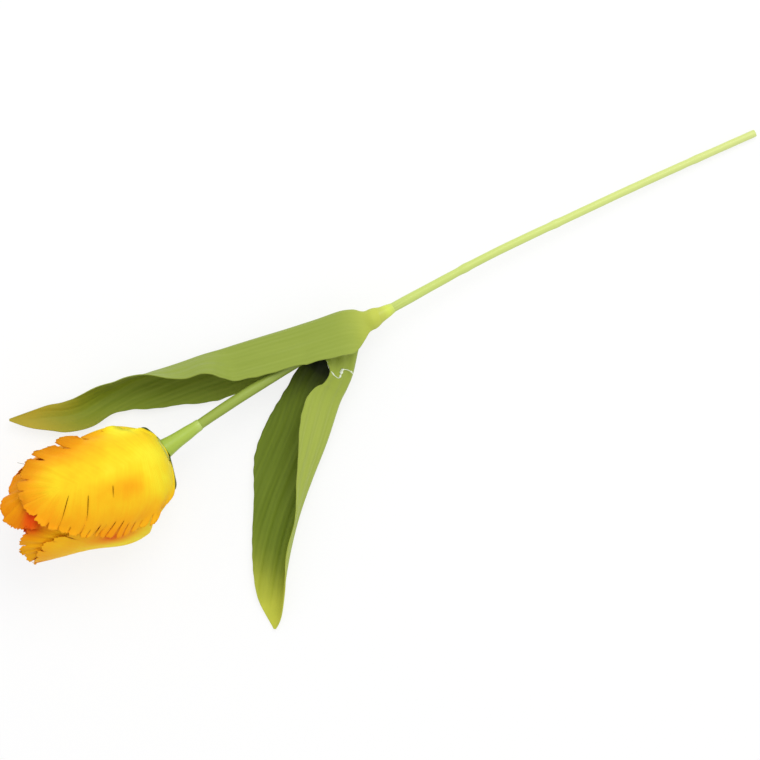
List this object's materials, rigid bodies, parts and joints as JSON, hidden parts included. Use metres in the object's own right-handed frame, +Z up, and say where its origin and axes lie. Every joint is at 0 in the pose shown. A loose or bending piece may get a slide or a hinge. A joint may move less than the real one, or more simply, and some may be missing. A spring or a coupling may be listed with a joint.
{
  "type": "artificial fringed tulip",
  "caption": "Artificial fringed tulip lying down: a cup-shaped yellow and orange bloom with cut, frilled petals on a thin green stem with two folded leaves.",
  "frame": {"origin": "middle of the footprint, on the surface that the flower lies on", "axes": "+X from the bloom towards the cut end of the stem, +Y across the stem on the long leaf's side, +Z up from the surface"},
  "size_m": [0.4522, 0.1646, 0.0624],
  "materials": {
    "petal_outer": "matte heat-pressed polyester, yellow with orange margins",
    "petal_inner": "matte heat-pressed polyester, orange",
    "leaf": "matte heat-pressed coated polyester, green",
    "stem": "satin moulded polyethylene, pale green",
    "neck": "satin moulded polyethylene, mid green",
    "collar": "satin moulded polyethylene, yellow green",
    "calyx": "satin moulded polyethylene, dark green",
    "receptacle": "satin moulded polyethylene",
    "pistil": "satin moulded polyethylene",
    "stamen": "matte moulded polyethylene, nearly black",
    "wire": "drawn wire"
  },
  "bodies": {
    "root": {"stem": "stem", "core_wire": "wire", "neck_sleeve": "neck", "leaf_collar": "collar", "calyx": "calyx", "receptacle": "receptacle", "petal_outer_top": "petal_outer", "petal_outer_left": "petal_outer", "petal_outer_right": "petal_outer", "petal_inner_left": "petal_inner", "petal_inner_right": "petal_inner", "petal_inner_bottom": "petal_inner", "pistil": "pistil", "stamen_1": "stamen", "stamen_2": "stamen", "stamen_3": "stamen", "stamen_4": "stamen", "stamen_5": "stamen", "stamen_6": "stamen", "leaf_long": "leaf", "leaf_short": "leaf"}
  },
  "joints": []
}
